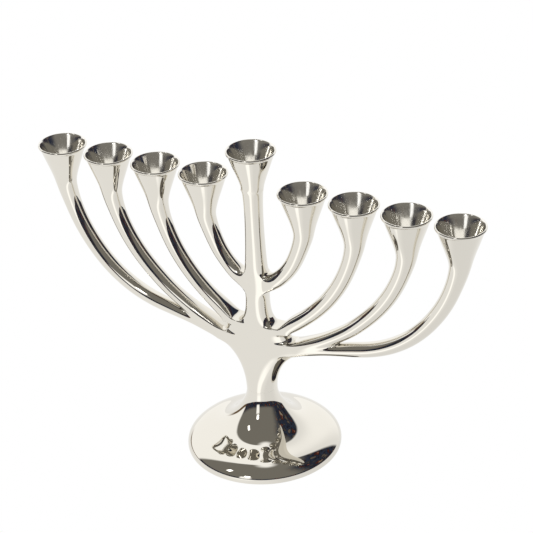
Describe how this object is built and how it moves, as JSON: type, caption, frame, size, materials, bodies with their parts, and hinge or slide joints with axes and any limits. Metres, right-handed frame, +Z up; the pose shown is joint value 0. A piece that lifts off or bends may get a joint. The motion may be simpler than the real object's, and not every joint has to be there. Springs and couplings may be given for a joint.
{
  "type": "menorah",
  "caption": "Polished plated Hanukkah menorah: curved arms in one plane, trumpet candle cups, a raised centre cup and a round weighted trumpet foot.",
  "frame": {"origin": "on the table under the middle of the foot", "axes": "+Z up, +X along the row of cups, -Y towards the front; the two faces are alike"},
  "size_m": [0.2226, 0.073, 0.155],
  "materials": {
    "polished_plate": "mirror-polished nickel plate over brass, slightly warm",
    "zinc_steel": "zinc-plated steel hardware",
    "cast_weight": "rough cast",
    "felt": "glued wool felt"
  },
  "bodies": {
    "root": {"trunk": "polished_plate", "foot": "polished_plate", "arm_left_inner": "polished_plate", "arm_left_second": "polished_plate", "arm_left_third": "polished_plate", "arm_left_outer": "polished_plate", "arm_right_inner": "polished_plate", "arm_right_second": "polished_plate", "arm_right_third": "polished_plate", "arm_right_outer": "polished_plate", "cup_left_inner": "polished_plate", "cup_left_second": "polished_plate", "cup_left_third": "polished_plate", "cup_left_outer": "polished_plate", "cup_right_inner": "polished_plate", "cup_right_second": "polished_plate", "cup_right_third": "polished_plate", "cup_right_outer": "polished_plate", "cup_centre": "polished_plate", "closing_plate": "zinc_steel", "hex_nut": "zinc_steel", "flat_washer": "zinc_steel", "lock_washer": "zinc_steel", "tie_stud": "zinc_steel", "foot_weight": "cast_weight", "felt_pad": "felt"}
  },
  "joints": []
}
